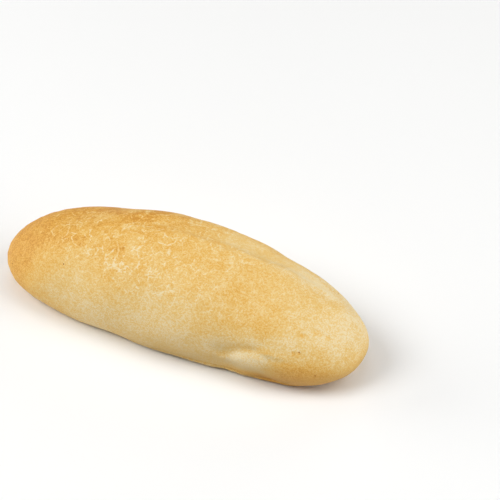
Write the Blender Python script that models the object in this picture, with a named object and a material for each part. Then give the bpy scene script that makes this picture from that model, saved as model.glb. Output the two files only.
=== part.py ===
"""Bolillo: a long oval wheat roll with a rounded crown, blunt ends and a flat baked sole.

Metres, +Z up. The roll rests on its sole and lies along X. The origin is on the
floor under the middle of its box, and -Y is the side with the folded dough.
"""
import math
import random

import bmesh
import bpy
from mathutils import Matrix, Vector

MM = 0.001

# The whole roll
LENGTH = 170 * MM
WIDTH = 63 * MM
HEIGHT = 43 * MM
WIDEST_LEVEL = 14 * MM
SINK = 11 * MM
LEFT_TIP_LEVEL = 11 * MM
RIGHT_TIP_LEVEL = 13 * MM
BEND = 5 * MM
FLOOR_BLEND = 2.5 * MM

# How blunt the ends are: 2 is an ellipse, and more is fuller
LEFT_PLAN_FULLNESS = (2.4, 2.15)
RIGHT_PLAN_FULLNESS = (2.25, 2.5)
LEFT_RISE_FULLNESS = (2.1, 2.2)
RIGHT_RISE_FULLNESS = (2.0, 2.2)
TIP_LEVEL_POWER = 3

# The shallow slash along the far side of the crown, seen from above as a bowed leaf
SLASH_CENTRE = Vector((16 * MM, 16 * MM))
SLASH_HALF_LENGTH = 54 * MM
SLASH_HALF_WIDTH = 7.5 * MM
SLASH_SLOPE = 0.06
SLASH_BOW = 9 * MM
SLASH_POINTEDNESS = 0.75
SLASH_FADE_POWER = 3
SLASH_DEPTH = 1.2 * MM
NEAR_LIP_HEIGHT = 0.5 * MM
NEAR_LIP_WIDTH = 2.6 * MM
NEAR_LIP_REACH = 3.9 * MM
FAR_LIP_WIDTH = 7.8 * MM

# The fold of dough at the right of the near side, with a crease round its left and top.
# Its centre and reach are along the roll and above the floor, and shares are of its reach.
FOLD_CENTRE = Vector((49 * MM, 6 * MM))
FOLD_REACH = Vector((18 * MM, 13 * MM))
FOLD_HEIGHT = 1.3 * MM
FOLD_RIGHT_END = 66 * MM
FOLD_EDGE_SHARE = 0.13
FOLD_FOOT_SHARES = (-0.4, 0.9)
CREASE_DEPTH = 0.6 * MM
CREASE_SHARE = 0.3

# The thin foot that spreads along the near edge of the sole
FOOT_CENTRE = 38 * MM
FOOT_HALF_LENGTH = 34 * MM
FOOT_LEVEL = 1.5 * MM
FOOT_THICKNESS = 2.0 * MM
FOOT_SPREAD = 1.6 * MM

# Broad swellings and flats: centre, radius and height along the surface normal
SWELLINGS = (
    (Vector((-10 * MM, 20 * MM, 40 * MM)), 27 * MM, 0.9 * MM),
    (Vector((8 * MM, 24 * MM, 38 * MM)), 16 * MM, 1.5 * MM),
    (Vector((-46 * MM, 12 * MM, 37 * MM)), 22 * MM, -1.3 * MM),
    (Vector((-76 * MM, -2 * MM, 28 * MM)), 15 * MM, -1.3 * MM),
    (Vector((36 * MM, -28 * MM, 8 * MM)), 27 * MM, -1.5 * MM),
    (Vector((35 * MM, 18 * MM, 38 * MM)), 15 * MM, -0.9 * MM),
    (Vector((57 * MM, 14 * MM, 34 * MM)), 18 * MM, -1.5 * MM),
    (Vector((78 * MM, 4 * MM, 28 * MM)), 14 * MM, 0.7 * MM),
    (Vector((66 * MM, -20 * MM, 6 * MM)), 18 * MM, 0.9 * MM),
)

# The low unevenness of the whole crust
LUMP_HEIGHT = 0.32 * MM
LUMP_LENGTHS = (24 * MM, 58 * MM)
LUMP_WAVES = 12
LUMP_SEED = 8

# The grid of faces: rings along the roll and rows round it, closer on the crown
RINGS = 88
ROWS = 60
CROWN_CLOSENESS = 0.25

CRUST_COLOUR = (0.787, 0.468, 0.138, 1.0)
CRUST_ROUGHNESS = 0.62


def clear_scene():
    for item in list(bpy.data.objects):
        bpy.data.objects.remove(item, do_unlink=True)


def end_profile(share, fullness):
    """Share of the full size left at this share of the way from the middle to a tip."""
    along, across = fullness
    return max(0.0, 1.0 - abs(share) ** along) ** (1.0 / across)


def roll_point(direction):
    """Point of the plain roll that a point of the unit ball becomes, poles at the tips."""
    polar = math.asin(max(-1.0, min(1.0, direction.x)))
    girth = math.atan2(direction.z, direction.y)
    girth += CROWN_CLOSENESS * math.cos(girth)

    left = polar < 0.0
    plan = LEFT_PLAN_FULLNESS if left else RIGHT_PLAN_FULLNESS
    rise = LEFT_RISE_FULLNESS if left else RIGHT_RISE_FULLNESS
    tip_level = LEFT_TIP_LEVEL if left else RIGHT_TIP_LEVEL

    share = math.copysign(abs(math.sin(polar)) ** (2.0 / plan[0]), polar)
    half_width = WIDTH / 2 * end_profile(share, plan)
    level = WIDEST_LEVEL + (tip_level - WIDEST_LEVEL) * abs(share) ** TIP_LEVEL_POWER
    upper = (HEIGHT - WIDEST_LEVEL) * end_profile(share, rise)
    lower = (WIDEST_LEVEL + SINK) * end_profile(share, rise)

    reach = upper if math.sin(girth) > 0.0 else lower
    return Vector((
        LENGTH / 2 * share,
        BEND * (1.0 - share ** 2) + half_width * math.cos(girth),
        level + reach * math.sin(girth),
    ))


def bell(distance):
    """Smooth swelling: 1 in the middle and 0 from a distance of 1."""
    return max(0.0, 1.0 - distance ** 2) ** 2


def step(value, start, end):
    """Smooth step from 0 at start to 1 at end."""
    share = max(0.0, min(1.0, (value - start) / (end - start)))
    return share * share * (3.0 - 2.0 * share)


def slash_height(point):
    """Leaf-shaped face a little below the crown, between a raised near lip and a soft far one."""
    along = (point.x - SLASH_CENTRE.x) / SLASH_HALF_LENGTH
    if abs(along) >= 1.0 or point.z < WIDEST_LEVEL:
        return 0.0
    middle = SLASH_CENTRE.y + SLASH_SLOPE * (point.x - SLASH_CENTRE.x) - SLASH_BOW * along ** 2
    half_width = SLASH_HALF_WIDTH * (1.0 - along ** 2) ** SLASH_POINTEDNESS
    past_near_edge = point.y - middle + half_width
    past_far_edge = point.y - middle - half_width
    face = step(past_near_edge, 0.0, NEAR_LIP_WIDTH)
    face *= 1.0 - step(past_far_edge, -2 / 3 * FAR_LIP_WIDTH, 1 / 3 * FAR_LIP_WIDTH)
    lip = bell((past_near_edge + NEAR_LIP_WIDTH / 2) / NEAR_LIP_REACH)
    fade = 1.0 - abs(along) ** SLASH_FADE_POWER
    return fade * (NEAR_LIP_HEIGHT * lip - SLASH_DEPTH * face)


def fold_height(point):
    """Swollen fold with a clear edge on its left and top, and a crease outside that edge."""
    if point.y > 0.0:
        return 0.0
    beside = min(0.0, (point.x - FOLD_CENTRE.x) / FOLD_REACH.x)
    above = (point.z - FOLD_CENTRE.y) / FOLD_REACH.y
    outside = math.hypot(beside, above) - 1.0
    swelling = 1.0 - step(outside, -FOLD_EDGE_SHARE, FOLD_EDGE_SHARE)
    crease = bell((outside - FOLD_EDGE_SHARE) / CREASE_SHARE)
    fade = 1.0 - step(point.x, FOLD_CENTRE.x, FOLD_RIGHT_END)
    return fade * (FOLD_HEIGHT * swelling * step(above, *FOLD_FOOT_SHARES) - CREASE_DEPTH * crease)


def foot_height(point):
    """Thin foot of dough that spreads just above the near edge of the sole."""
    if point.y > 0.0:
        return 0.0
    along = (point.x - FOOT_CENTRE) / FOOT_HALF_LENGTH
    above = (point.z - FOOT_LEVEL) / FOOT_THICKNESS
    return FOOT_SPREAD * bell(along) * bell(above)


def swelling_height(point):
    return sum(
        height * bell((point - centre).length / radius)
        for centre, radius, height in SWELLINGS
    )


def lump_waves():
    """Waves of random direction, length and phase that add up to a low unevenness."""
    draw = random.Random(LUMP_SEED)
    waves = []
    for _ in range(LUMP_WAVES):
        heading = Vector((draw.gauss(0, 1), draw.gauss(0, 1), draw.gauss(0, 1))).normalized()
        length = draw.uniform(*LUMP_LENGTHS)
        waves.append((heading * (math.tau / length), draw.uniform(0, math.tau)))
    return waves


def lump_height(point, waves):
    total = sum(math.sin(heading.dot(point) + phase) for heading, phase in waves)
    return LUMP_HEIGHT * total / math.sqrt(LUMP_WAVES / 2)


def raise_relief(mesh):
    """Move each point along its normal by all the relief that it carries."""
    waves = lump_waves()
    mesh.normal_update()
    moves = []
    for vertex in mesh.verts:
        point = vertex.co
        height = slash_height(point) + fold_height(point) + foot_height(point)
        height += swelling_height(point) + lump_height(point, waves)
        moves.append(vertex.normal * height)
    for vertex, move in zip(mesh.verts, moves):
        vertex.co += move


def rest_on_floor(mesh):
    """Flatten what would reach below the floor, with a soft edge round the sole."""
    for vertex in mesh.verts:
        level = vertex.co.z
        if level < -FLOOR_BLEND:
            vertex.co.z = 0.0
        elif level < FLOOR_BLEND:
            vertex.co.z = (level + FLOOR_BLEND) ** 2 / (4 * FLOOR_BLEND)


def centre_on_box(mesh):
    """Put the origin under the middle of the roll's box."""
    for axis in (0, 1):
        places = [vertex.co[axis] for vertex in mesh.verts]
        middle = (min(places) + max(places)) / 2
        for vertex in mesh.verts:
            vertex.co[axis] -= middle


def crust_material():
    material = bpy.data.materials.new("crust")
    material.use_nodes = True
    shader = material.node_tree.nodes["Principled BSDF"]
    shader.inputs["Base Color"].default_value = CRUST_COLOUR
    shader.inputs["Roughness"].default_value = CRUST_ROUGHNESS
    shader.inputs["Metallic"].default_value = 0.0
    return material


def make_roll():
    mesh = bmesh.new()
    poles_on_x = Matrix.Rotation(math.pi / 2, 4, "Y")
    bmesh.ops.create_uvsphere(
        mesh, u_segments=ROWS, v_segments=RINGS, radius=1.0, matrix=poles_on_x
    )
    for vertex in mesh.verts:
        vertex.co = roll_point(vertex.co)
    raise_relief(mesh)
    rest_on_floor(mesh)
    centre_on_box(mesh)
    bmesh.ops.recalc_face_normals(mesh, faces=mesh.faces)

    data = bpy.data.meshes.new("bolillo_roll")
    mesh.to_mesh(data)
    mesh.free()
    data.shade_smooth()
    data.materials.append(crust_material())
    roll = bpy.data.objects.new("bolillo_roll", data)
    bpy.context.scene.collection.objects.link(roll)
    return roll


def main():
    clear_scene()
    make_roll()


main()
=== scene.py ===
"""A bolillo roll, resting on a pale floor in soft studio light.

The frame's own solid gives the roll its form. This script makes it into a fine, even
mesh, adds the low relief of a baked crust, and colours it by how much each place has browned.
It also paints shade onto the crust that faces down and into the fold's hollow.

Lengths are in metres, and MM and mm() turn millimetres into them. The roll lies along x, its
near side faces -y, and its sole is at z = 0. Most pairs of values are ramps: where a thing
sets in, and where it is full. One whose name ends in TURN is a ramp on the upward part of the
surface's normal. A pair whose name ends in BAND, ALONG or UP is a hump: its middle and reach.
"""
import math

import bmesh
import bpy
import numpy as np
from mathutils import Matrix, Vector


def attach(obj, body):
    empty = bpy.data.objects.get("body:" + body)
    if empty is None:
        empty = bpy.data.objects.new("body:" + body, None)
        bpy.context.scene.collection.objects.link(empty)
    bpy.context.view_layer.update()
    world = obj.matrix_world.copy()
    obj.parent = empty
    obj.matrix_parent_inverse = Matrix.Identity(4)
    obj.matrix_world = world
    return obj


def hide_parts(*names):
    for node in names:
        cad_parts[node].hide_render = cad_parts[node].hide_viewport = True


MM = 0.001


def mm(*lengths):
    """Lengths that are given in millimetres."""
    return tuple(length * MM for length in lengths)


NODE = "bolillo_roll"

# The camera: the photograph's viewing angle, and where its picture has the roll's middle
PICTURE = 500
AZIMUTH = math.radians(25.3)
ELEVATION = math.radians(41.0)
DISTANCE = 1.0
PIXELS_PER_METRE = 2316
AIM = Vector((0.0, 0.0, 20 * MM))
AIM_PIXEL = (187.6, 280.6)
SENSOR = 36
CLIP_START = 10 * MM

# The lamps: each has its name, direction from the roll and height in degrees, and its watts
LIGHT_DISTANCE = 1.6
LIGHT_SIZE = 1.0
LIGHTS = (
    ("key", 222, 50, 14.2),
    ("top", 0, 90, 5.0),
    ("left", 185, 20, 8.2),
    ("right", 0, 20, 8.6),
    ("right_high", 10, 50, 8.2),
    ("back", 90, 20, 4.4),
)

# The floor, just below the sole
FLOOR_HALF_SIZE = 4.0
FLOOR_DROP = 0.05 * MM
FLOOR_CLOUD_SIZE = 0.25
FLOOR_STOPS = ((0.0, (246, 246, 245)), (1.0, (250, 250, 249)))
FLOOR_ROUGHNESS = 0.9

# The fine mesh
WELD = 0.001 * MM
FACE_SIZE = 0.60 * MM
SMOOTHING_ROUNDS = 8
SMOOTHING_SHARE = 0.5

# Random numbers are mixed by large odd factors and by shifts, of which the low bits are kept
AXIS_FACTORS = (73856093, 19349663, 83492791)
SEED_FACTOR = 2654435761
MIXING_ROUNDS = ((15, 2246822519), (13, 3266489917), (16, 668265263))
LOW_BITS = 0xFFFFFFFF

# The roll's place in the noise's grid, which keeps all its corners above zero
GRID_START = 1000.0

# Broad forms that the solid has, to which the crust's finer forms keep
NEAR_SIDE = mm(0, -8)
UPPER_HALF = 20 * MM
SLASH_CENTRE = mm(16, 12)
SLASH_HALF_LENGTH = 54 * MM
SLASH_HALF_WIDTH = 7.5 * MM
SLASH_SLOPE = 0.06
SLASH_BOW = 9 * MM
SLASH_POINTEDNESS = 0.75
FOLD_CENTRE = mm(49, 6)
FOLD_REACH = mm(18, 13)
FOOT_CENTRE = 24 * MM
FOOT_HALF_LENGTH = 45 * MM

# Swells and ripples of all the crust, and wrinkles of its left end
SWELL_HEIGHT = 0.16 * MM
SWELL_SIZE = 15 * MM
RIPPLE_HEIGHT = 0.07 * MM
RIPPLE_SIZE = 4.5 * MM
WRINKLE_HEIGHT = 0.34 * MM
WRINKLED_END = mm(-48, -72)
OFF_SOLE = mm(0.8, 5)

# Plates into which the browned crown has cracked
PLATE_HEIGHT = 0.10 * MM
PLATE_SIZE = 8 * MM
PLATE_BEND = 1.6 * MM
PLATE_BEND_SIZE = 5 * MM
PLATE_GAP = mm(0.1, 0.8)
PLATED_SIZE = 13 * MM
PLATED_NOISE = (-0.25, 0.3)
PLATED_TURN = (0.1, 0.8)
PLATED_RIGHT = mm(62, 20)

# The fold's softened ends, its swollen tip with a crease, and the hollow beside it
# Its edges and bands are distances from the fold's edge, as shares of the fold's size
FOLD_START_X = mm(37, 32)
FOLD_START_Z = mm(16, 11)
FOLD_SOFT_RIGHT = mm(44, 51)
FOLD_SOFT_END = mm(66, 49)
FOLD_SOFT_RISE = mm(1, 18)
FOLD_STEP = 1.3 * MM
FOLD_SOFT_EDGE = (0.6, -0.35)
FOLD_SHARP_EDGE = (0.13, -0.13)
FOLD_FILL = 0.55 * MM
FOLD_FILL_BAND = (0.13, 0.33)
FOLD_TIP_START = mm(32, 39)
FOLD_TIP_END = mm(54, 45)
FOLD_TIP_HEIGHT = 0.8 * MM
FOLD_TIP_BAND = (-0.45, 0.45)
FOLD_CREASE_END = mm(50, 42)
FOLD_CREASE_RISE = mm(13, 17)
FOLD_CREASE_DEPTH = 0.15 * MM
FOLD_CREASE_BAND = (0.12, 0.06)
FOLD_HOLLOW_DEPTH = 0.6 * MM
FOLD_HOLLOW_ALONG = mm(31, 10)
FOLD_HOLLOW_UP = mm(18, 7)

# The thin lip at the near side's foot, and the crease above it
FOOT_FADE = 0.7
FOOT_SHARE = 0.75
FOOT_SHARE_WANDER = 0.25
FOOT_SHARE_SIZE = 7 * MM
FOOT_TOP = 2.4 * MM
FOOT_TOP_WANDER = 0.8 * MM
FOOT_TOP_SIZE = 9 * MM
FOOT_LIP_HEIGHT = 0.45 * MM
FOOT_LIP_EDGE = mm(0.3, -0.5)
FOOT_CREASE_DEPTH = 0.45 * MM
FOOT_CREASE_BAND = mm(0.5, 0.8)

# The slash's near lip, partly closed and wandering
SLASH_FADE = 0.8
LIP_FILLED_SIZE = 12 * MM
LIP_FILLED_NOISE = (-0.6, 0.4)
LIP_FILLED_LEAST = 0.7
LIP_FILLED_RIGHT = mm(6, 18)
LIP_FILLED_LEFT_SHARE = 0.5
LIP_FILL = 0.8 * MM
LIP_FILL_BAND = mm(2.0, 3.6)
LIP_TRIM = 0.3 * MM
LIP_TRIM_BAND = mm(-1.3, 2.4)
LIP_WANDER = 1.3 * MM
LIP_WANDER_SIZE = 9 * MM
LIP_WANDER_BAND = mm(0, 5)

# Pits and dents of the baked sole
SOLE_TURN = (-0.6, -0.95)
SOLE_PIT_DEPTH = 0.7 * MM
SOLE_PIT_SIZE = 3.2 * MM
SOLE_PIT_NOISE = (0.1, 0.6)
SOLE_PIT_SHARE = 0.55
SOLE_DENT_SIZE = 11 * MM
SOLE_DENT_NOISE = (0.15, 0.7)

# Shallow golden dimples in the pale right end, and how far each reaches, in millimetres
DIMPLE_DEPTH = 0.3 * MM
DIMPLE_FLAT_SHARE = 0.6
DIMPLES = (
    ((67.2, -14.9, 28.6), 1.7), ((68.8, -14.2, 28.3), 1.7), ((71.0, -11.0, 29.6), 1.1),
    ((72.2, -13.9, 26.8), 1.2), ((62.6, -18.5, 28.4), 1.1), ((61.1, -24.4, 22.7), 0.9),
    ((63.5, -23.7, 22.5), 0.8),
)

# Single dark specks in the crust, each near the surface, in millimetres
SPECK_RADIUS = 0.42 * MM
SPECKS = (
    (-76.7, -18.3, 15.5), (-48.1, -22.5, 29.3), (64.6, 14.3, 25.8),
    (41.0, 7.4, 37.2), (63.4, -23.5, 22.9), (71.1, -23.9, 13.1),
)


def ease(share):
    """A share from 0 to 1 with a soft start and a soft end."""
    return share * share * (3.0 - 2.0 * share)


def smooth(value, start, end):
    """Smooth step from 0 at start to 1 at end. Start may be the larger."""
    return ease(np.clip((value - start) / (end - start), 0.0, 1.0))


def hump(value, middle, reach):
    """Smooth hump: 1 at the middle, and near 0 from one reach away."""
    return np.exp(-3.0 * ((value - middle) / reach) ** 2)


def at_least(least, share):
    """A share from 0 to 1 brought to between least and 1."""
    return least + (1.0 - least) * share


def random_at(corners, seed):
    """A random number from 0 to 1 for each corner of a grid, the same in each run."""
    mixed = corners.astype(np.uint64) * np.array(AXIS_FACTORS, np.uint64)
    mixed = mixed.sum(axis=-1, dtype=np.uint64) + np.uint64(seed * SEED_FACTOR)
    for shift, factor in MIXING_ROUNDS:
        mixed = (mixed ^ (mixed >> np.uint64(shift))) * np.uint64(factor)
        mixed = mixed & np.uint64(LOW_BITS)
    return mixed / float(LOW_BITS)


def noise(points, size, seed):
    """Smooth noise from -1 to 1 with bumps about size across."""
    cells = points / size + GRID_START
    corners = np.floor(cells).astype(np.int64)
    share = ease(cells - corners)
    total = np.zeros(len(points))
    for corner in np.ndindex(2, 2, 2):
        weight = np.where(np.array(corner) == 1, share, 1.0 - share).prod(axis=1)
        total += weight * random_at(corners + np.array(corner), seed)
    return 2.0 * total - 1.0


def layered_noise(points, size, seed, layers=3):
    """Noise with finer and fainter layers over the first, each from the next seed."""
    total = sum(noise(points, size / 2 ** k, seed + k) / 2 ** k for k in range(layers))
    return total / sum(0.5 ** k for k in range(layers))


def cell_walls(points, size, seed):
    """Distance to the nearest wall between irregular cells about size across."""
    cells = points / size + GRID_START
    corners = np.floor(cells).astype(np.int64)
    nearest = np.full(len(points), np.inf)
    second = np.full(len(points), np.inf)
    for step in np.ndindex(3, 3, 3):
        corner = corners + np.array(step) - 1
        jitter = [random_at(corner, seed + axis) for axis in (1, 2, 3)]
        distance = np.linalg.norm(corner + np.stack(jitter, axis=1) - cells, axis=1)
        second = np.minimum(second, np.maximum(nearest, distance))
        nearest = np.minimum(nearest, distance)
    return (second - nearest) * size / 2


def lengthwise(points):
    """The points moved onto the roll's length, for noise that changes only along it."""
    return points * (1, 0, 0)


def on_near_side(points):
    """Share of the roll's near side at each point."""
    return smooth(points[:, 1], *NEAR_SIDE)


def slash_edges(points):
    """Share along the slash, and how far each point is past its near and its far edge."""
    x, y = points[:, 0], points[:, 1]
    along = (x - SLASH_CENTRE[0]) / SLASH_HALF_LENGTH
    inside = np.clip(1.0 - along ** 2, 0.0, 1.0)
    middle = SLASH_CENTRE[1] + SLASH_SLOPE * (x - SLASH_CENTRE[0]) - SLASH_BOW * along ** 2
    half_width = SLASH_HALF_WIDTH * inside ** SLASH_POINTEDNESS
    return along, y - middle + half_width, y - middle - half_width


def on_slash(points, along, fade):
    """Share of the slash's length, on the upper half only: full inside fade, 0 at its ends."""
    return (points[:, 2] > UPPER_HALF) * smooth(np.abs(along), 1.0, fade)


def fold_edge(points):
    """How far each point is outside the fold's edge, as a share of the fold's size."""
    beside = np.minimum(0.0, (points[:, 0] - FOLD_CENTRE[0]) / FOLD_REACH[0])
    above = (points[:, 2] - FOLD_CENTRE[1]) / FOLD_REACH[1]
    return np.hypot(beside, above) - 1.0


def foot_lip(points):
    """Share of the thin lip at the near side's foot, and how far each point is above it."""
    x, z = points[:, 0], points[:, 2]
    share = on_near_side(points)
    share *= smooth(np.abs(x - FOOT_CENTRE), FOOT_HALF_LENGTH, FOOT_FADE * FOOT_HALF_LENGTH)
    share *= FOOT_SHARE + FOOT_SHARE_WANDER * noise(lengthwise(points), FOOT_SHARE_SIZE, seed=53)
    top = FOOT_TOP + FOOT_TOP_WANDER * layered_noise(lengthwise(points), FOOT_TOP_SIZE, seed=51)
    return share, z - top


def dimples(points):
    """Share of the nearest dimple's depth at each point."""
    depth = np.zeros(len(points))
    for place, reach in DIMPLES:
        away = np.linalg.norm(points - np.array(place) * MM, axis=1)
        depth = np.maximum(depth, smooth(away, reach * MM, DIMPLE_FLAT_SHARE * reach * MM))
    return depth


def plate_gaps(points, normals):
    """Share of a gap between the plates into which the browned crown has cracked."""
    bent = points + PLATE_BEND * np.stack(
        [noise(points, PLATE_BEND_SIZE, seed) for seed in (31, 32, 33)], axis=1
    )
    walls = cell_walls(bent, PLATE_SIZE, seed=41)
    plated = smooth(layered_noise(points, PLATED_SIZE, seed=45, layers=2), *PLATED_NOISE)
    crown = smooth(normals[:, 2], *PLATED_TURN) * smooth(points[:, 0], *PLATED_RIGHT)
    return crown * plated * (1.0 - smooth(walls, *PLATE_GAP))


def skin_relief(points, normals):
    """Swells, ripples, wrinkles and cracked plates, which all fade out towards the sole."""
    height = SWELL_HEIGHT * layered_noise(points, SWELL_SIZE, seed=11)
    height += RIPPLE_HEIGHT * layered_noise(points, RIPPLE_SIZE, seed=21)
    left_end = smooth(points[:, 0], *WRINKLED_END)
    height += WRINKLE_HEIGHT * left_end * layered_noise(points, RIPPLE_SIZE, seed=26, layers=2)
    height -= PLATE_HEIGHT * plate_gaps(points, normals)
    return height * smooth(points[:, 2], *OFF_SOLE)


def fold_relief(points):
    """The fold's softened ends, the swell and the crease of its tip, and the hollow beside."""
    x, z = points[:, 0], points[:, 2]
    near_side = on_near_side(points)
    edge = fold_edge(points)
    left_start = smooth(x, *FOLD_START_X) * smooth(z, *FOLD_START_Z)
    soft = np.maximum(smooth(x, *FOLD_SOFT_RIGHT), left_start)
    soft *= near_side * smooth(x, *FOLD_SOFT_END) * smooth(z, *FOLD_SOFT_RISE)
    height = FOLD_STEP * soft * (smooth(edge, *FOLD_SOFT_EDGE) - smooth(edge, *FOLD_SHARP_EDGE))
    height += FOLD_FILL * soft * hump(edge, *FOLD_FILL_BAND)
    tip = near_side * smooth(x, *FOLD_TIP_START) * smooth(x, *FOLD_TIP_END)
    height += FOLD_TIP_HEIGHT * tip * hump(edge, *FOLD_TIP_BAND)
    creased = tip * smooth(x, *FOLD_CREASE_END) * smooth(z, *FOLD_CREASE_RISE)
    height -= FOLD_CREASE_DEPTH * creased * hump(edge, *FOLD_CREASE_BAND)
    hollow = near_side * hump(x, *FOLD_HOLLOW_ALONG) * hump(z, *FOLD_HOLLOW_UP)
    return height - FOLD_HOLLOW_DEPTH * hollow


def foot_relief(points):
    """The thin lip at the near side's foot, and the crease above it."""
    foot, above_foot = foot_lip(points)
    height = FOOT_LIP_HEIGHT * foot * smooth(above_foot, *FOOT_LIP_EDGE)
    return height - FOOT_CREASE_DEPTH * foot * hump(above_foot, *FOOT_CREASE_BAND)


def lip_relief(points):
    """What fills the slash inside its near lip, and what is trimmed off the lip itself."""
    along, past_near, _ = slash_edges(points)
    stretch = on_slash(points, along, SLASH_FADE)
    level = noise(lengthwise(points), LIP_FILLED_SIZE, seed=66)
    filled = at_least(LIP_FILLED_LEAST, smooth(level, *LIP_FILLED_NOISE))
    filled *= at_least(LIP_FILLED_LEFT_SHARE, smooth(points[:, 0], *LIP_FILLED_RIGHT))
    height = LIP_FILL * filled * stretch * hump(past_near, *LIP_FILL_BAND)
    return height - LIP_TRIM * filled * stretch * hump(past_near, *LIP_TRIM_BAND)


def crust_relief(points, normals):
    """Height along the normal of all the crust's low relief at each point."""
    height = skin_relief(points, normals)
    height += fold_relief(points)
    height -= DIMPLE_DEPTH * dimples(points)
    height += foot_relief(points)
    return height + lip_relief(points)


def lip_wander(points, normals):
    """Sideways shift that makes the slash's near edge wander as torn crust does."""
    along, past_near, _ = slash_edges(points)
    amount = LIP_WANDER * layered_noise(lengthwise(points), LIP_WANDER_SIZE, seed=68)
    amount *= on_slash(points, along, SLASH_FADE) * hump(past_near, *LIP_WANDER_BAND)
    sideways = np.stack((0.0 * amount, normals[:, 2], -normals[:, 1]), axis=1)
    return sideways * amount[:, None]


def sole_relief(points, normals):
    """How far the pits and the dents of the baked sole rise from the floor."""
    under = smooth(normals[:, 2], *SOLE_TURN)
    pits = smooth(layered_noise(points, SOLE_PIT_SIZE, seed=71), *SOLE_PIT_NOISE)
    dents = smooth(layered_noise(points, SOLE_DENT_SIZE, seed=81, layers=2), *SOLE_DENT_NOISE)
    return under * SOLE_PIT_DEPTH * (SOLE_PIT_SHARE * pits + (1.0 - SOLE_PIT_SHARE) * dents)


def rising(axis, start, end):
    """A limit of an area of crust: a smooth step along one axis, in millimetres."""
    return axis, smooth, start * MM, end * MM


def around(axis, middle, reach):
    """A limit of an area of crust: a smooth hump along one axis, in millimetres."""
    return axis, hump, middle * MM, reach * MM


# Areas that have browned more than the rest, or less where the amount is below zero
AREAS = (
    ("crown", 0.27),
    ("crown", 0.11, rising("x", 20, -55)),
    ("crown", 0.08, around("x", -28, 20), around("y", 2, 9)),
    ("upward", 0.28, rising("x", -38, -80)),
    ("far shoulder", 0.32, rising("x", 4, -28)),
    ("all round", 0.12, rising("z", 20, 9)),
    ("all round", 0.10, rising("z", 20, 9), rising("x", -38, -52)),
    ("all round", -0.15, rising("z", 20, 9), around("x", -28, 16)),
    ("all round", 0.04, rising("x", -62, -72)),
    ("all round", -0.24, rising("x", 34, 74), rising("z", 12, 22)),
    ("all round", 0.16, rising("x", 64, 76), rising("z", 27, 17)),
    ("all round", 0.12, around("x", 63, 9), around("y", -3, 5)),
    ("all round", 0.16, around("x", 68, 7), around("y", 3, 6)),
    ("near side", 0.43, around("x", 60, 30), rising("z", 28, 12)),
    # Browner low at the near right by the floor: partly browner crust, partly painted contact shade
    ("near side", 0.20, around("x", 52, 24), rising("z", 10, 3)),
    ("near side", 0.12, around("x", 26, 18), around("z", 27, 9)),
    ("near side", 0.09, around("x", 46, 16), around("z", 29, 7)),
    ("near side", 0.08, around("x", 22, 14), around("z", 20, 7)),
    ("near side", 0.07, around("x", 64, 12), around("z", 20, 6)),
    ("near side", 0.08, around("x", 71, 8), around("z", 22, 5)),
    ("near side", -0.07, around("x", -60, 18), around("z", 26, 5)),
    ("near side", -0.08, around("x", 0, 28), around("z", 37, 5)),
    ("near side", -0.10, around("x", -42, 24), around("z", 28, 6)),
)

# The parts of the roll that these areas keep to
CROWN_TURN = (0.0, 0.95)
UPWARD_TURN = (-0.4, 0.4)
UPWARD_LEAST = 0.4
SHOULDER_TURN = (0.2, 0.65)
SHOULDER_START = mm(-2, 14)
SHOULDER_END = mm(15, 25)
SHOULDER_END_FADE = 0.6

# Browning of all the crust, and how far it wanders
PLAIN_BROWN = 0.25
BROWN_WANDER = 0.07
BROWN_WANDER_SIZE = 26 * MM

# Browning from which the crust darkens more slowly, and how much more slowly
DEEP_BROWN = 0.80
DEEP_BROWN_SHARE = 0.5

# Browning of the fold's lobe and crease, the foot and its line, the slash's crease, the dimples.
# The brown in the creases and in the foot's line is partly browner crust and partly painted shade.
LOBE_BROWN = -0.30
LOBE_EDGE = (0.12, 0.0)
LOBE_START = mm(30, 35)
LOBE_END = mm(58, 47)
LOBE_RISE = mm(4, 11)
CREASE_BROWN_AND_SHADE = 0.12
CREASE_BAND = (0.22, 0.14)
CREASE_START = mm(24, 32)
CREASE_END = mm(58, 44)
CREASE_RISE = mm(8, 14)
FOOT_BROWN = -0.20
FOOT_BROWN_EDGE = mm(0.2, -0.6)
FOOT_LINE_BROWN_AND_SHADE = 0.40
FOOT_LINE_BAND = mm(0.7, 0.9)
SLASH_CREASE_BROWN_AND_SHADE = 0.12
SLASH_CREASE_BAND = mm(1.2, 2.0)
DIMPLE_BROWN = 0.20


def area_browning(points, normals):
    """How much all the browner and paler areas together add at each point.

    Each area keeps to one part of the roll, and within it to its limits along x, y or z.
    """
    x, y, z = points.T
    upness = normals[:, 2]
    shoulder = smooth(y, *SHOULDER_START) * smooth(upness, *SHOULDER_TURN)
    parts = {
        "all round": np.ones(len(points)),
        "near side": on_near_side(points),
        "crown": smooth(upness, *CROWN_TURN),
        "upward": at_least(UPWARD_LEAST, smooth(upness, *UPWARD_TURN)),
        "far shoulder": shoulder * (1.0 - SHOULDER_END_FADE * smooth(y, *SHOULDER_END)),
    }
    axes = {"x": x, "y": y, "z": z}
    total = np.zeros(len(points))
    for part, amount, *limits in AREAS:
        share = parts[part]
        for axis, shape, first, second in limits:
            share = share * shape(axes[axis], first, second)
        total += amount * share
    return total


def fold_browning(points):
    """What the fold's pale lobe and the browner crease round it add at each point; the crease's brown
    is partly painted shade.
    """
    x, z = points[:, 0], points[:, 2]
    near_side = on_near_side(points)
    edge = fold_edge(points)
    lobe = near_side * smooth(edge, *LOBE_EDGE) * smooth(z, *LOBE_RISE)
    lobe *= smooth(x, *LOBE_START) * smooth(x, *LOBE_END)
    crease = near_side * hump(edge, *CREASE_BAND) * smooth(z, *CREASE_RISE)
    crease *= smooth(x, *CREASE_START) * smooth(x, *CREASE_END)
    return LOBE_BROWN * lobe + CREASE_BROWN_AND_SHADE * crease


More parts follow.
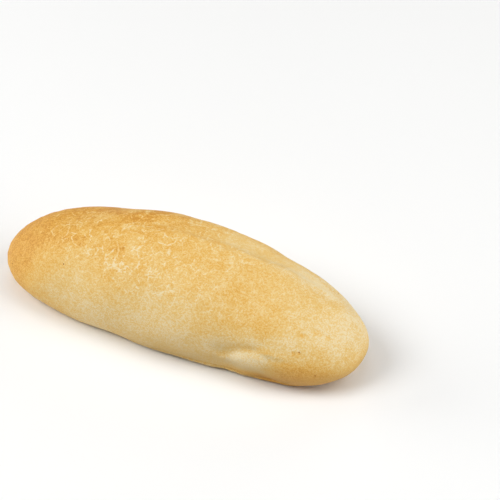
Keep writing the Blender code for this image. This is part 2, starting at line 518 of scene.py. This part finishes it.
def browning(points, normals):
    """How far the crust has browned: 0 is pale dough, 0.5 golden and 1 dark brown."""
    brown = PLAIN_BROWN + area_browning(points, normals)
    brown += BROWN_WANDER * layered_noise(points, BROWN_WANDER_SIZE, seed=91)
    brown += fold_browning(points)
    brown += DIMPLE_BROWN * dimples(points)
    foot, above_foot = foot_lip(points)
    brown += FOOT_BROWN * foot * smooth(above_foot, *FOOT_BROWN_EDGE)
    # The foot's line is browner in its crease: partly browner crust and partly painted shade
    brown += FOOT_LINE_BROWN_AND_SHADE * foot * hump(above_foot, *FOOT_LINE_BAND)
    along, past_near, _ = slash_edges(points)
    stretch = on_slash(points, along, SLASH_FADE)
    # The slash's crease is browner: partly browner crust and partly painted shade
    brown += SLASH_CREASE_BROWN_AND_SHADE * stretch * hump(past_near, *SLASH_CREASE_BAND)
    deeper = DEEP_BROWN + DEEP_BROWN_SHARE * (brown - DEEP_BROWN)
    return np.where(brown < DEEP_BROWN, brown, deeper)


# Painted shade: a darker, duller colour on the crust that faces down, weaker on the left,
# and less of it low beside the fold's foot
PAINTED_SHADE_TURN = (0.4, -0.6)
PAINTED_SHADE_RIGHT = mm(-30, 6)
PAINTED_SHADE_LEFT_SHARE = 0.2
SHADE_LIFT_SHARE = 0.4
SHADE_LIFT_ALONG = mm(32, 18)
SHADE_LIFT_UP = mm(5, 6)

# The same painted shade in the fold's hollow
HOLLOW_SHADE_SHARE = 0.6
HOLLOW_SHADE_ALONG = mm(30, 14)
HOLLOW_SHADE_UP = mm(16, 7)
HOLLOW_SHADE_EDGE = (0.0, 0.12)


def painted_shade(points, normals):
    """Share of the painted shade on the crust that faces down, and in the fold's hollow."""
    x, z = points[:, 0], points[:, 2]
    share = smooth(normals[:, 2], *PAINTED_SHADE_TURN)
    share *= at_least(PAINTED_SHADE_LEFT_SHARE, smooth(x, *PAINTED_SHADE_RIGHT))
    share *= 1.0 - SHADE_LIFT_SHARE * hump(x, *SHADE_LIFT_ALONG) * hump(z, *SHADE_LIFT_UP)
    hollow = on_near_side(points) * hump(x, *HOLLOW_SHADE_ALONG) * hump(z, *HOLLOW_SHADE_UP)
    hollow *= smooth(fold_edge(points), *HOLLOW_SHADE_EDGE)
    return np.maximum(share, HOLLOW_SHADE_SHARE * hollow)


# The cracked crown: wider and a little fainter in the middle of the roll than on its left
CRACKED_TURN = (0.6, 0.96)
CRACKED_MIDDLE = mm(-40, -8)
CRACKED_MIDDLE_WIDENING = 0.30
CRACKED_MIDDLE_FADE = 0.15
CRACKED_RIGHT = mm(62, -22)
CRACKED_LEFT = mm(-86, -60)


def cracking(points, normals):
    """How finely cracked the crust is: most on the crown's left, and nearly so in its middle."""
    x = points[:, 0]
    middle = smooth(x, *CRACKED_MIDDLE)
    crown = smooth(normals[:, 2] + CRACKED_MIDDLE_WIDENING * middle, *CRACKED_TURN)
    crown *= 1.0 - CRACKED_MIDDLE_FADE * middle
    return crown * smooth(x, *CRACKED_RIGHT) * smooth(x, *CRACKED_LEFT)


# The unevenly browned part of the crown
UNEVEN_TURN = (0.5, 0.95)
UNEVEN_RIGHT = mm(0, -35)
UNEVEN_LEFT = mm(-60, -36)


def unevenness(points, normals):
    """How unevenly the crust has browned: most on the left half of the crown."""
    x = points[:, 0]
    crown = smooth(normals[:, 2], *UNEVEN_TURN)
    return crown * smooth(x, *UNEVEN_RIGHT) * smooth(x, *UNEVEN_LEFT)


# The streaked far shoulder
STREAKED_TURN = (0.2, 0.6)
STREAKED_FAR = mm(0, 10)
STREAKED_RIGHT = mm(2, -18)
STREAKED_LEFT = mm(-74, -58)


def streaks(points, normals):
    """Where the crust has thin stretch lines along the roll: the far left shoulder."""
    x, y = points[:, 0], points[:, 1]
    shoulder = smooth(y, *STREAKED_FAR) * smooth(normals[:, 2], *STREAKED_TURN)
    return shoulder * smooth(x, *STREAKED_RIGHT) * smooth(x, *STREAKED_LEFT)


# The slash's smooth face, with a ragged near edge and a wandering start on the left
FACE_FADE = 0.85
FACE_RAGGEDNESS = 1.4 * MM
FACE_RAGGED_SIZE = 5 * MM
FACE_NEAR = mm(-2.4, 2.2)
FACE_FAR = mm(1.5, -1.5)
FACE_START = mm(3, 26)
FACE_START_WANDER = 11 * MM
FACE_START_SIZE = 7 * MM

# The slash's torn lip, the pale band by its right end, and the band of short cracks across it
TORN_SIZE = 5 * MM
TORN_NOISE = (-0.7, 0.3)
TORN_RIGHT = mm(26, 44)
TORN_LEFT_SHARE = 0.1
TORN_LIP_SHARE = 0.6
TORN_LIP_BAND = mm(-0.9, 0.9)
PALE_START = (0.35, 0.75)
PALE_END = (1.15, 0.9)
PALE_BAND = mm(0.5, 4.5)
LIP_SHARE = 0.4
ACROSS_BAND = mm(1.5, 3.5)


def slash_look(points, normals):
    """The slash's own smooth face, its torn near lip and the short cracks across it."""
    shift = lip_wander(points, normals)
    along, past_near, past_far = slash_edges(points - shift)
    stretch = on_slash(points, along, FACE_FADE)
    ragged = past_near + FACE_RAGGEDNESS * layered_noise(points, FACE_RAGGED_SIZE, seed=61, layers=2)
    start = points[:, 0] + FACE_START_WANDER * layered_noise(points, FACE_START_SIZE, seed=64, layers=2)
    face = stretch * smooth(ragged, *FACE_NEAR) * smooth(past_far, *FACE_FAR)
    face *= smooth(start, *FACE_START)
    torn = smooth(noise(lengthwise(points), TORN_SIZE, seed=63), *TORN_NOISE)
    torn *= at_least(TORN_LEFT_SHARE, smooth(points[:, 0], *TORN_RIGHT))
    torn_lip = TORN_LIP_SHARE * stretch * torn * hump(past_near, *TORN_LIP_BAND)
    pale_band = smooth(along, *PALE_START) * smooth(along, *PALE_END)
    pale_band *= (points[:, 2] > UPPER_HALF) * hump(past_near, *PALE_BAND)
    return {
        "face": face,
        "lip": LIP_SHARE * np.maximum(torn_lip, pale_band),
        "across": stretch * hump(past_near, *ACROSS_BAND),
    }


# The height to which the sole's own brown reaches, which is lower at the near side's foot
RIM_HEIGHT = 0.9 * MM
RIM_WANDER = 0.9 * MM
RIM_WANDER_SIZE = 8 * MM
RIM_DROP_AT_FOOT = 0.8 * MM
RIM_FADE = mm(1.0, -0.8)

# The outline of the sole's own brown, an ellipse whose edge wanders and fades
SOLE_CENTRE = -2.5 * MM
SOLE_HALF_LENGTH = 69 * MM
SOLE_HALF_WIDTH = 22.5 * MM
SOLE_OUTLINE_WANDER = 0.16
SOLE_OUTLINE_SIZE = 12 * MM
SOLE_OUTLINE = (0.78, 1.05)
SOLE_OUTLINE_FADE = 0.75


def sole_browning(points):
    """Share of the sole's own brown: full under the roll and patchy round its rim."""
    x, y, z = points.T
    foot, _ = foot_lip(points)
    rim = RIM_HEIGHT + RIM_WANDER * layered_noise(points, RIM_WANDER_SIZE, seed=101)
    rim -= RIM_DROP_AT_FOOT * foot
    share = smooth(z - rim, *RIM_FADE)
    outward = np.hypot((x - SOLE_CENTRE) / SOLE_HALF_LENGTH, y / SOLE_HALF_WIDTH)
    outward += SOLE_OUTLINE_WANDER * layered_noise(points, SOLE_OUTLINE_SIZE, seed=105)
    return share * (1.0 - SOLE_OUTLINE_FADE * smooth(outward, *SOLE_OUTLINE))


def fine_copy(node, name):
    """The node's form as a fine mesh of even faces, with its facets smoothed away."""
    data = node.data.copy()
    mesh = bmesh.new()
    mesh.from_mesh(data)
    bmesh.ops.remove_doubles(mesh, verts=mesh.verts, dist=WELD)
    mesh.to_mesh(data)
    mesh.free()
    data.materials.clear()

    draft = bpy.data.objects.new(name, data)
    bpy.context.scene.collection.objects.link(draft)
    even = draft.modifiers.new("even faces", "REMESH")
    even.mode = "VOXEL"
    even.voxel_size = FACE_SIZE
    even.use_smooth_shade = True
    round_off = draft.modifiers.new("no facets", "SMOOTH")
    round_off.factor = SMOOTHING_SHARE
    round_off.iterations = SMOOTHING_ROUNDS
    fine = bpy.data.meshes.new_from_object(
        draft.evaluated_get(bpy.context.evaluated_depsgraph_get())
    )
    draft.modifiers.clear()
    draft.data = fine
    fine.name = name
    return draft


def read_points(data):
    """The places and the normals of a mesh's points, each as rows of three."""
    points = np.empty(len(data.vertices) * 3)
    data.vertices.foreach_get("co", points)
    normals = np.empty(len(data.vertices) * 3)
    data.vertices.foreach_get("normal", normals)
    return points.reshape(-1, 3), normals.reshape(-1, 3)


def shape_crust(data):
    """Moves the mesh's points to add all the relief, with none below the floor."""
    points, normals = read_points(data)
    points += normals * crust_relief(points, normals)[:, None]
    points += lip_wander(points, normals)
    points[:, 2] += sole_relief(points, normals)
    points[:, 2] = np.maximum(points[:, 2], 0.0)
    data.vertices.foreach_set("co", points.ravel())
    data.update()


def map_crust(data):
    """Stores on the mesh, as attributes, what the crust's material reads."""
    points, normals = read_points(data)
    maps = {
        "browning": browning(points, normals),
        "sole": sole_browning(points),
        # Painted shade, which darkens the crust that faces down and the fold's hollow
        "painted_shade": painted_shade(points, normals),
        "gaps": plate_gaps(points, normals),
        "streaks": streaks(points, normals),
        "cracking": cracking(points, normals),
        "uneven": unevenness(points, normals),
        **slash_look(points, normals),
    }
    for name, values in maps.items():
        data.attributes.new(name, "FLOAT", "POINT").data.foreach_set("value", values)


def make_roll(node):
    """The roll itself: the node's form with the crust's relief, maps and material."""
    roll = fine_copy(node, "crust")
    shape_crust(roll.data)
    map_crust(roll.data)
    bpy.context.view_layer.update()
    specks = [roll.closest_point_on_mesh(Vector(place) * MM)[1] for place in SPECKS]
    roll.data.materials.append(crust_material(specks))
    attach(roll, "root")
    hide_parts(NODE)


class Shader:
    """Adds nodes to one material and links them."""

    def __init__(self, name):
        """Starts a new material of this name."""
        self.material = bpy.data.materials.new(name)
        self.material.use_nodes = True
        self.tree = self.material.node_tree
        self.surface = self.tree.nodes["Principled BSDF"]

    def put(self, socket, value):
        """Links a value to a socket, or sets a plain value on it."""
        if isinstance(value, bpy.types.NodeSocket):
            self.tree.links.new(value, socket)
        else:
            socket.default_value = value

    def node(self, kind, inputs, **settings):
        """A new node with these inputs and settings."""
        node = self.tree.nodes.new(kind)
        for name, value in settings.items():
            setattr(node, name, value)
        for key, value in inputs.items():
            self.put(node.inputs[key], value)
        return node

    def maths(self, operation, first, second):
        """The result of one operation on two values."""
        node = self.node("ShaderNodeMath", {0: first, 1: second}, operation=operation)
        return node.outputs[0]

    def add(self, first, *others):
        """The sum of some values."""
        for other in others:
            first = self.maths("ADD", first, other)
        return first

    def times(self, first, *others):
        """The product of some values."""
        for other in others:
            first = self.maths("MULTIPLY", first, other)
        return first

    def vectors(self, operation, first, second):
        """The result of one operation on two vectors."""
        return self.node("ShaderNodeVectorMath", {0: first, 1: second}, operation=operation)

    def scale(self, value, start, end, low=0.0, high=1.0):
        """Smooth change from low to high as the value goes from start to end."""
        return self.node(
            "ShaderNodeMapRange",
            {"Value": value, "From Min": start, "From Max": end, "To Min": low, "To Max": high},
            interpolation_type="SMOOTHSTEP",
        ).outputs["Result"]

    def swing(self, value, margin, amount):
        """Smooth change from -amount to amount, as the value goes from margin to 1 - margin."""
        return self.scale(value, margin, 1.0 - margin, -amount, amount)

    def attribute(self, name):
        """One of the mesh's attributes."""
        return self.node("ShaderNodeAttribute", {}, attribute_name=name).outputs["Fac"]

    def place(self):
        """The place on the object, in metres."""
        return self.node("ShaderNodeTexCoord", {}).outputs["Object"]

    def noise(self, place, size, detail=2.0, roughness=0.5):
        """A noise node with values about 0.5 and bumps about size across."""
        return self.node(
            "ShaderNodeTexNoise",
            {"Vector": place, "Scale": 1 / size, "Detail": detail, "Roughness": roughness},
        )

    def level(self, place, size, detail=2.0, roughness=0.5):
        """Noise as one value."""
        return self.noise(place, size, detail, roughness).outputs["Fac"]

    def patches(self, place, size, start, end):
        """Soft patches about size across, where noise goes from start to end."""
        return self.scale(self.level(place, size), start, end)

    def warped(self, place, size, amount):
        """The place pushed about by noise, so that straight lines wander."""
        push = self.noise(place, size).outputs["Color"]
        push = self.vectors("SUBTRACT", push, (NOISE_MIDDLE,) * 3).outputs[0]
        push = self.node(
            "ShaderNodeVectorMath", {0: push, "Scale": amount}, operation="SCALE"
        ).outputs[0]
        return self.vectors("ADD", place, push).outputs[0]

    def crack_lines(self, place, size, width):
        """Thin lines between irregular cells."""
        edge = self.node(
            "ShaderNodeTexVoronoi",
            {"Vector": place, "Scale": 1 / size},
            feature="DISTANCE_TO_EDGE",
        ).outputs["Distance"]
        return self.scale(edge, width / size, LINE_CORE * width / size)

    def cells(self, place, size):
        """The distance from the middle of each of many cells, and a random value in each."""
        cell = self.node("ShaderNodeTexVoronoi", {"Vector": place, "Scale": 1 / size})
        pick = self.node("ShaderNodeSeparateColor", {"Color": cell.outputs["Color"]})
        return cell.outputs["Distance"], pick.outputs[0]

    def dots(self, place, size, radius, share):
        """Round dots, one in some of the cells of a grid."""
        distance, value = self.cells(place, size)
        dot = self.scale(distance, radius / size, DOT_CORE * radius / size)
        return self.times(dot, self.maths("LESS_THAN", value, share))

    def blend(self, share, first, second):
        """The first colour where the share is 0, and the second where it is 1."""
        node = self.node("ShaderNodeMix", {"Factor": share, 6: first, 7: second}, data_type="RGBA")
        return node.outputs[2]

    def ramp(self, value, stops):
        """The colours of the stops, each at its value."""
        node = self.node("ShaderNodeValToRGB", {"Fac": value})
        marks = node.color_ramp.elements
        for (place, colour), mark in zip(stops, marks):
            mark.position = place
            mark.color = linear(colour)
        for place, colour in stops[len(marks):]:
            marks.new(place).color = linear(colour)
        return node.outputs["Color"]


def linear(colour):
    """A colour as seen on a screen, 0 to 255, as the light values that Blender mixes."""
    shares = [part / 255 for part in colour]
    light = [s / 12.92 if s <= 0.04045 else ((s + 0.055) / 1.055) ** 2.4 for s in shares]
    return (*light, 1.0)


# Colours, each by its browning, and the two laid over the crust: painted shade and dark specks
CRUST_STOPS = (
    (0.00, (240, 224, 186)),
    (0.25, (237, 212, 159)),
    (0.50, (233, 194, 115)),
    (0.75, (227, 172, 79)),
    (1.00, (208, 146, 58)),
)
SOLE_STOPS = (
    (0.0, (238, 204, 138)),
    (0.35, (222, 162, 84)),
    (0.65, (196, 122, 50)),
    (1.0, (142, 78, 28)),
)
PAINTED_SHADE_COLOUR = linear((165, 135, 82))
PAINTED_SHADE_SHARE = 0.5
SPECK_COLOUR = linear((168, 92, 20))
SPECULAR = 0.3

# The middle of noise, and how much of a line, a dot and a speck is its full core
NOISE_MIDDLE = 0.5
LINE_CORE = 0.2
DOT_CORE = 0.4
SPECK_CORE = 0.5

# Thin pale cracks: bends have a size and an amount, lines their cells' size and a width
# Patches and breaks have a size, and the noise at which they set in and are full
BEND = mm(5, 4)
RAGGED_BEND = mm(1.4, 0.7)
BREAKS = (2.4 * MM, 0.40, 0.52)
LARGE_LINES = mm(7, 0.36)
LARGE_LINE_PATCHES = (10 * MM, 0.36, 0.50)
SMALL_LINES = mm(3.0, 0.24)
SMALL_LINE_PATCHES = (6 * MM, 0.40, 0.55)
SMALL_LINE_SHARE = 0.75
STRETCH_LINES = mm(2.6, 0.3)
STRETCH_LINE_SHARE = 0.5
STRETCH_SQUEEZE = (0.2, 1.0, 1.0)
ELSEWHERE = (0.3, 0.1, 0.2)

# The short cracks across the slash
CROSS_SQUEEZE = (1.0, 0.22, 0.22)
CROSS_SIZE = 3.0 * MM
CROSS_LINE = (0.045, 0.015)
CROSS_PATCHES = (4 * MM, 0.48, 0.58)

# Noise and marks in the crust's colour: dots have a grid size, a radius, and a share of cells
BROAD_SIZE = 9 * MM
PATCH_SIZE = 5 * MM
MOTTLE_SIZE = 2.2 * MM
GRAIN_SIZE = 0.5 * MM
GRAIN_ROUGHNESS = 0.7
SAND_SIZE = 0.48 * MM
KNOTS = (1.7 * MM, 0.64, 0.76)
PALE_DOTS = (1.1 * MM, 0.30 * MM, 0.3)
RED_DOTS = (3 * MM, 0.4 * MM, 0.3)
SOLE_DOTS = (2.2 * MM, 0.5 * MM, 0.35)

# How much browning each adds to the crust's, or takes from it
BROAD_BROWN = 0.16
PATCH_BROWN = 0.15
MOTTLE_BROWN = 0.08
GRAIN_BROWN = 0.09
SAND_BROWN = 0.15
LINE_BROWN = -0.46
GAP_BROWN = -0.05
PALE_DOT_BROWN = -0.16
KNOT_BROWN = -0.08
MARKS_BROWN = 0.05
FACE_BROWN = -0.12
CROSS_LINE_BROWN = -0.22
LIP_BROWN = -0.18
RED_DOT_BROWN = 0.35
RED_DOT_START = (0.5, 0.7)

# How strong the mottling is on even and on uneven crust, and the marks on rough and on smooth
MOTTLING = (0.3, 0.8)
MARKING = (1.0, 0.6)

# How dull the surface is, from pale to brown crust
DULL_BROWN = (0.1, 0.9)
DULLNESS = (0.8, 0.6)

# The sole's brown: the range of its broad patches, and what the rest adds to it
SOLE_BROAD_SIZE = 14 * MM
SOLE_BROAD_RANGE = (0.25, 0.75)
SOLE_PATCH_SIZE = 4 * MM
SOLE_PATCH_BROWN = 0.14
SOLE_GRAIN_BROWN = 0.14
SOLE_SAND_BROWN = 0.16
SOLE_DOT_BROWN = 0.3
SOLE_PALE_DOT_BROWN = -0.25

# Margins of noise: how far its lowest and highest values stay from 0 and 1
SAND_MARGIN = 0.0
GRAIN_MARGIN = 0.2
CRUST_MARGIN = 0.25
SOLE_MARGIN = 0.3

# The finest relief, as a bump: each height as a share of its depth
BUMP_STRENGTH = 0.3
BUMP_DEPTH = 0.25 * MM
LINE_HEIGHT = -0.8
GRAIN_HEIGHT = 0.8
SAND_SHARE = 0.5
MOTTLE_HEIGHT = 0.8
PALE_DOT_HEIGHT = 0.3


def crack_pattern(shader, place, ragged, elsewhere):
    """Thin broken lines: large and small ones on the crown, and stretch lines behind it."""
    broken = shader.patches(place, *BREAKS)
    large_lines = shader.times(
        shader.crack_lines(ragged, *LARGE_LINES),
        shader.patches(place, *LARGE_LINE_PATCHES),
        broken,
    )
    small_lines = shader.times(
        shader.crack_lines(elsewhere, *SMALL_LINES),
        shader.patches(elsewhere, *SMALL_LINE_PATCHES),
        broken,
        SMALL_LINE_SHARE,
    )
    squeezed = shader.vectors("MULTIPLY", ragged, STRETCH_SQUEEZE).outputs[0]
    stretch_lines = shader.times(
        shader.crack_lines(squeezed, *STRETCH_LINES),
        broken,
        shader.attribute("streaks"),
        STRETCH_LINE_SHARE,
    )
    lines = shader.times(
        shader.maths("MAXIMUM", large_lines, small_lines), shader.attribute("cracking")
    )
    return shader.maths("MAXIMUM", lines, stretch_lines)


def cross_cracks(shader, place):
    """Thin uneven lines that run across the roll."""
    stretched = shader.vectors("MULTIPLY", place, CROSS_SQUEEZE).outputs[0]
    level = shader.level(stretched, CROSS_SIZE, detail=1.0)
    off_level = shader.maths("ABSOLUTE", shader.add(level, -NOISE_MIDDLE), 0.0)
    line = shader.scale(off_level, *CROSS_LINE)
    return shader.times(line, shader.patches(place, *CROSS_PATCHES))


def crust_marks(shader, place):
    """The noise and the marks that both the crust's colour and its bump are made of."""
    ragged = shader.warped(shader.warped(place, *BEND), *RAGGED_BEND)
    elsewhere = shader.vectors("ADD", ragged, ELSEWHERE).outputs[0]
    # The slash's face and the painted shade carry fainter marks
    smooth_parts = shader.maths("MAXIMUM", shader.attribute("face"), shader.attribute("painted_shade"))
    return {
        "mottle": shader.level(place, MOTTLE_SIZE, detail=1.0),
        "grain": shader.level(place, GRAIN_SIZE, roughness=GRAIN_ROUGHNESS),
        "sand": shader.cells(place, SAND_SIZE)[1],
        "lines": crack_pattern(shader, place, ragged, elsewhere),
        "cross lines": shader.times(cross_cracks(shader, place), shader.attribute("across")),
        "pale dots": shader.dots(place, *PALE_DOTS),
        "knots": shader.patches(elsewhere, *KNOTS),
        "rough": shader.scale(smooth_parts, 0.0, 1.0, *MARKING),
    }


def crust_browning(shader, place, marks):
    """The mesh's browning with all the noise and marks of the crust."""
    browning_map = shader.attribute("browning")
    uneven = shader.scale(shader.attribute("uneven"), 0.0, 1.0, *MOTTLING)
    broad = shader.level(place, BROAD_SIZE)
    patches = shader.level(place, PATCH_SIZE, detail=1.0)
    red_dots = shader.dots(place, *RED_DOTS)
    on_crust = shader.add(
        shader.times(shader.swing(patches, CRUST_MARGIN, PATCH_BROWN), uneven),
        shader.times(shader.swing(marks["mottle"], CRUST_MARGIN, MOTTLE_BROWN), uneven),
        shader.swing(marks["grain"], GRAIN_MARGIN, GRAIN_BROWN),
        shader.swing(marks["sand"], SAND_MARGIN, SAND_BROWN),
        shader.times(marks["lines"], LINE_BROWN),
        shader.times(shader.attribute("gaps"), GAP_BROWN),
        shader.times(marks["pale dots"], PALE_DOT_BROWN),
        shader.times(marks["knots"], KNOT_BROWN),
        MARKS_BROWN,
    )
    return shader.add(
        browning_map,
        shader.times(shader.swing(broad, CRUST_MARGIN, BROAD_BROWN), uneven),
        shader.times(on_crust, marks["rough"]),
        shader.times(shader.attribute("face"), FACE_BROWN),
        shader.times(marks["cross lines"], CROSS_LINE_BROWN),
        shader.times(shader.attribute("lip"), LIP_BROWN),
        shader.times(red_dots, shader.scale(browning_map, *RED_DOT_START), RED_DOT_BROWN),
    )


def sole_colour(shader, place, marks):
    """The patchy and dotted brown of the sole."""
    broad = shader.level(place, SOLE_BROAD_SIZE, detail=3.0)
    brown = shader.add(
        shader.scale(broad, SOLE_MARGIN, 1.0 - SOLE_MARGIN, *SOLE_BROAD_RANGE),
        shader.swing(shader.level(place, SOLE_PATCH_SIZE), SOLE_MARGIN, SOLE_PATCH_BROWN),
        shader.swing(marks["grain"], GRAIN_MARGIN, SOLE_GRAIN_BROWN),
        shader.swing(marks["sand"], SAND_MARGIN, SOLE_SAND_BROWN),
        shader.times(shader.dots(place, *SOLE_DOTS), SOLE_DOT_BROWN),
        shader.times(marks["pale dots"], SOLE_PALE_DOT_BROWN),
    )
    return shader.ramp(brown, SOLE_STOPS)


def dark_specks(shader, place, speck_places):
    """Share of a dark speck at each place."""
    specks = 0.0
    for speck in speck_places:
        off = shader.vectors("DISTANCE", place, speck).outputs["Value"]
        dot = shader.scale(off, SPECK_RADIUS, SPECK_CORE * SPECK_RADIUS)
        specks = shader.maths("MAXIMUM", specks, dot)
    return specks


def crust_bump(shader, marks):
    """The normal, tilted by the finest cracks, grain and dots."""
    grain = shader.add(marks["grain"], shader.times(marks["sand"], SAND_SHARE))
    height = shader.add(
        shader.times(marks["lines"], LINE_HEIGHT),
        shader.times(marks["cross lines"], LINE_HEIGHT),
        shader.times(grain, marks["rough"], GRAIN_HEIGHT),
        shader.times(marks["mottle"], MOTTLE_HEIGHT),
        shader.times(marks["pale dots"], PALE_DOT_HEIGHT),
    )
    return shader.node(
        "ShaderNodeBump", {"Strength": BUMP_STRENGTH, "Distance": BUMP_DEPTH, "Height": height}
    ).outputs["Normal"]


def crust_material(speck_places):
    """Crust coloured by its browning, with painted shade, dark specks and a brown sole."""
    shader = Shader("crust")
    place = shader.place()
    marks = crust_marks(shader, place)
    brown = crust_browning(shader, place, marks)
    # Painted shade: the crust's colour blended towards a dull dark brown
    shade = shader.times(shader.attribute("painted_shade"), PAINTED_SHADE_SHARE)
    colour = shader.blend(shade, shader.ramp(brown, CRUST_STOPS), PAINTED_SHADE_COLOUR)
    colour = shader.blend(dark_specks(shader, place, speck_places), colour, SPECK_COLOUR)
    colour = shader.blend(shader.attribute("sole"), colour, sole_colour(shader, place, marks))

    inputs = shader.surface.inputs
    shader.put(inputs["Base Color"], colour)
    shader.put(inputs["Roughness"], shader.scale(brown, *DULL_BROWN, *DULLNESS))
    shader.put(inputs["Specular IOR Level"], SPECULAR)
    shader.put(inputs["Normal"], crust_bump(shader, marks))
    return shader.material


def floor_material():
    """A pale floor with hardly visible clouds."""
    shader = Shader("pale_floor")
    cloud = shader.level(shader.place(), FLOOR_CLOUD_SIZE)
    shader.put(shader.surface.inputs["Base Color"], shader.ramp(cloud, FLOOR_STOPS))
    shader.put(shader.surface.inputs["Roughness"], FLOOR_ROUGHNESS)
    return shader.material


def make_floor():
    """One large pale square under the roll."""
    mesh = bmesh.new()
    bmesh.ops.create_grid(mesh, x_segments=1, y_segments=1, size=FLOOR_HALF_SIZE)
    data = bpy.data.meshes.new("floor")
    mesh.to_mesh(data)
    mesh.free()
    floor = bpy.data.objects.new("floor", data)
    floor.location.z = -FLOOR_DROP
    data.materials.append(floor_material())
    bpy.context.scene.collection.objects.link(floor)


def make_camera():
    """A long lens that looks at the roll from the photograph's side."""
    right = Vector((math.cos(AZIMUTH), math.sin(AZIMUTH), 0.0))
    back = Vector((
        math.sin(AZIMUTH) * math.cos(ELEVATION),
        -math.cos(AZIMUTH) * math.cos(ELEVATION),
        math.sin(ELEVATION),
    ))
    up = back.cross(right)
    focal_pixels = PIXELS_PER_METRE * DISTANCE
    aside = (AIM_PIXEL[0] - PICTURE / 2) / focal_pixels * DISTANCE
    below = (AIM_PIXEL[1] - PICTURE / 2) / focal_pixels * DISTANCE
    camera = bpy.data.objects.new("camera", bpy.data.cameras.new("camera"))
    axes = Matrix((right, up, back)).transposed().to_4x4()
    camera.matrix_world = Matrix.Translation(
        AIM + back * DISTANCE - right * aside + up * below
    ) @ axes
    camera.data.sensor_width = SENSOR
    camera.data.lens = focal_pixels * SENSOR / PICTURE
    camera.data.clip_start = CLIP_START
    bpy.context.scene.collection.objects.link(camera)
    bpy.context.scene.camera = camera


def make_light(name, azimuth, elevation, power):
    """A soft round lamp that faces the roll from its place on a half globe."""
    azimuth, elevation = math.radians(azimuth), math.radians(elevation)
    lamp = bpy.data.lights.new(name, "AREA")
    lamp.shape = "DISK"
    lamp.size = LIGHT_SIZE
    lamp.energy = power
    away = Vector((
        math.cos(azimuth) * math.cos(elevation),
        math.sin(azimuth) * math.cos(elevation),
        math.sin(elevation),
    ))
    item = bpy.data.objects.new(name, lamp)
    item.location = away * LIGHT_DISTANCE
    item.rotation_euler = away.to_track_quat("Z", "Y").to_euler()
    bpy.context.scene.collection.objects.link(item)


def light_scene():
    """Soft lamps on all sides, of which the strongest is above the camera's left."""
    for light in LIGHTS:
        make_light(*light)
    world = bpy.data.worlds.new("surround")
    world.use_nodes = True
    world.node_tree.nodes["Background"].inputs["Strength"].default_value = 0.0
    bpy.context.scene.world = world
    bpy.context.scene.view_settings.view_transform = "Standard"


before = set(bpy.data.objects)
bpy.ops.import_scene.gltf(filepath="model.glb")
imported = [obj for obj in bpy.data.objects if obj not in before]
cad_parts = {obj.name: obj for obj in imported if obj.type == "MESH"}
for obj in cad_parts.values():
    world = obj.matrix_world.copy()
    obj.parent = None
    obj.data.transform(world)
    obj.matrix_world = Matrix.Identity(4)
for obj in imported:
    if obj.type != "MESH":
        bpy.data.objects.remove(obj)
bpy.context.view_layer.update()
make_camera()
light_scene()
make_floor()
make_roll(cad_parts[NODE])
